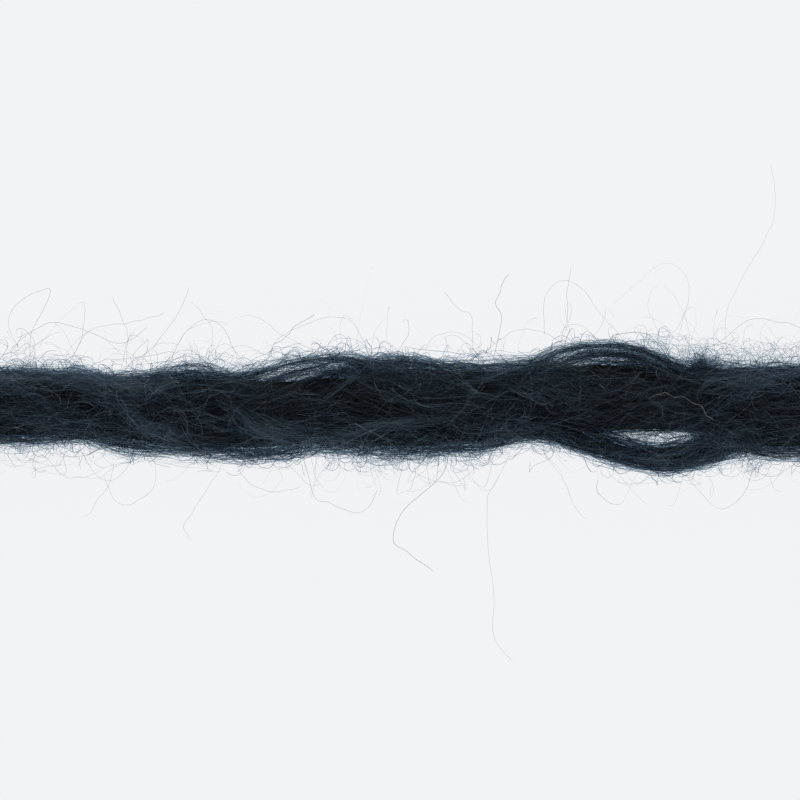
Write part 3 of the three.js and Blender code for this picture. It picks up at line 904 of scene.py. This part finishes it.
def wisp_fibres(form, random, points):
    """Fibres that run side by side over the strand, along the table's wisps, and their shades, lighter as
    painted light.
    """
    fine = 60  # points along a wisp's line
    long = (0.3, 0.7)  # a fibre's length as a share of its wisp's
    past = 0.1  # how far past the wisp's ends it may start or end, as a share
    splay, lift = 0.12, 0.1  # how much they lie aslant, and in millimetres above or below the form
    paths, shades = [], []
    for row in WISPS_WITH_PAINTED_LIGHT:
        line = smooth_line(row["path"], fine)
        for _ in range(row["fibres"]):
            length = random.uniform(*long)
            start = random.uniform(-past, 1 + past - length)
            along = np.clip(start + length * np.linspace(0, 1, points), 0, 1) * (fine - 1)
            x, y = (np.interp(along, np.arange(fine), line[:, axis]) for axis in (0, 1))
            sway = waves(random, 1, x[None, :], WISP_WAVES)[0]
            sway += random.normal(0, splay) * (x - x.mean())
            x, y = x * MM, (y + random.normal(0, row["spread"]) + sway) * MM
            z = on_top(form, x, y) + random.normal(-lift, lift) * MM
            paths.append(np.stack([x, y, z], axis=-1))
            shades.append(row["shade"] * random.uniform(*WISP_LIGHTER))
    return np.array(paths), np.repeat(np.clip(shades, 0, 1)[:, None], points, axis=1)


def tangle_hairs(random, points, step):
    """Hairs that wind about inside the table's tangles."""
    filled = 0.5  # how far from a tangle's middle they start, as a spread and a share of its size
    first_bend, more_bend = 0.2, 0.14
    pull, pull_from = 0.3, 0.8  # how hard they are drawn back, and from which share of the tangle's size on
    paths = []
    for row in TANGLES:
        middle = np.array([row["x"], row["y"], row["z"]]) * MM
        size = np.array([row["long"], row["wide"], row["wide"]]) * MM
        count = row["hairs"]
        here = middle + size * np.clip(random.normal(0, filled, (count, 3)), -1, 1)
        heading = random.normal(0, 1, (count, 3))
        bend = random.normal(0, first_bend, (count, 3))
        path = [here]
        for _ in range(1, points):
            bend = BEND_KEPT * bend + random.normal(0, more_bend, (count, 3))
            away = (here - middle) / size
            far = np.linalg.norm(away, axis=1, keepdims=True)
            back = pull * np.clip(far - pull_from, 0, 1) * away / far
            heading = unit(heading + np.cross(bend, heading) - back)
            here = here + step * MM * heading
            here[:, 2] = np.maximum(here[:, 2], FLOOR_CLEAR)
            path.append(here)
        paths.append(np.stack(path, axis=1))
    return np.concatenate(paths)


def stray_hairs(random, points):
    """The long hairs of the table, which sink from the strand to the surface that it lies on."""
    paths = []
    for row in STRAYS:
        line = smooth_line(row["path"], points)
        x, y = (line + waves(random, 2, np.arange(points)[None, :], STRAY_WAVES).T).T * MM
        z = np.maximum(STRAND_MIDDLE_Z - STRAY_SLOPE * (np.abs(y) - STRAND_HALF), STRAY_LOWEST)
        paths.append(np.stack([x, y, z], axis=-1))
    return np.array(paths), FIBRE_THICK * np.array([row["wide"] for row in STRAYS])


def pale_hair(form, random, points):
    """The one pale hair of the table, which lies on the strand."""
    sway = waves(random, 2, np.arange(points)[None, :], PALE_WAVES)
    x, y = (smooth_line(PALE_HAIR, points).T + sway) * MM
    return np.stack([x, y, on_top(form, x, y) + PALE_LIFT], axis=-1)[None]


# The stage
add_camera()
add_world()
add_table()
add_lamp("softbox", **SOFTBOX)

# The plies' forms and the dense core
forms = [Form(*sections(node)) for node in PLIES]
strand = hull(forms)
wools = {name: wool_material(name, **row) for name, row in WOOLS.items()}
middle = middle_form(strand)
shares = [core_share(node, form.xs) for node, form in zip(PLIES, forms)]
shares.append(np.full(len(middle.xs), MIDDLE_SHARE))
# The core's wool is painted darker than the fibres' wool, as painted shade
yarn = core([*forms, middle], shares, wools["core_wool_painted_shade"])

# The fibres and the fringe of each ply
hairs = []
for number, (node, form) in enumerate(zip(PLIES, forms)):
    random = np.random.default_rng(SEED + number)
    ends = (form.xs[0], form.xs[-1])
    paths = ply_fibres(form, random, thin_places(node), ends, **FILLINGS["ply"])
    hairs.append(dress(node + "_fibres", "ply", paths, random, wools))
    paths = curly_fibres(form, strand, random, **CURLS["fringe"])
    hairs.append(dress(node + "_fringe", "fringe", paths, random, wools))

# The fibres of the strand as a whole
random = np.random.default_rng(STRAND_SEED)
paths = ply_fibres(middle, random, [], (middle.xs[0], middle.xs[-1]), **FILLINGS["middle"])
hairs.append(dress("middle_fibres", "middle", paths, random, wools))
loop = forms[PLIES.index(LOOP_PLY)]
paths = ply_fibres(loop, random, thin_places(LOOP_PLY), LOOP_ENDS, **FILLINGS["loop"])
hairs.append(dress("loop_fibres", "loop", paths, random, wools))
paths = crossing_fibres(strand, random, **CROSSING)
hairs.append(dress("crossing_fibres", "crossing", paths, random, wools))
for name, kind in [("halo_fibres", "halo"), ("arching_hairs", "arching")]:
    paths = curly_fibres(strand, strand, random, **CURLS[kind])
    hairs.append(dress(name, kind, paths, random, wools))

# The hairs whose places the tables give
paths, shades = wisp_fibres(strand, random, WISP_POINTS)
widths = FIBRE_THICK * random.uniform(*WISP_WIDE, len(paths))
hairs.append(ribbons("wisps", paths, widths, shades, random, wools["stray_wool"]))
paths = tangle_hairs(random, **TANGLE)
hairs.append(dress("tangles", "tangle", paths, random, wools))
paths, widths = stray_hairs(random, STRAY_POINTS)
shades = shades_for(paths, random, *STRAY_SHADES)
hairs.append(ribbons("long_hairs", paths, widths, shades, random, wools["stray_wool"], flat=True))
paths = pale_hair(strand, random, PALE_POINTS)
widths = np.array([PALE_WIDE * FIBRE_THICK])
shades = np.full(paths.shape[:2], PALE_SHADE)
hairs.append(ribbons("pale_hair", paths, widths, shades, random, wools["pale_wool"], flat=True))

# The view's transform, the pieces' body, the hidden plies and the strand's middle line
bpy.context.scene.view_settings.view_transform = "Standard"
for piece in [yarn, *hairs]:
    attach(piece, "root")
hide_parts(*PLIES)
ends = [strand.xs[0], strand.xs[-1]]
route = [(x, *(float(v) for v in strand.middle(x))) for x in np.linspace(*ends, 30)]
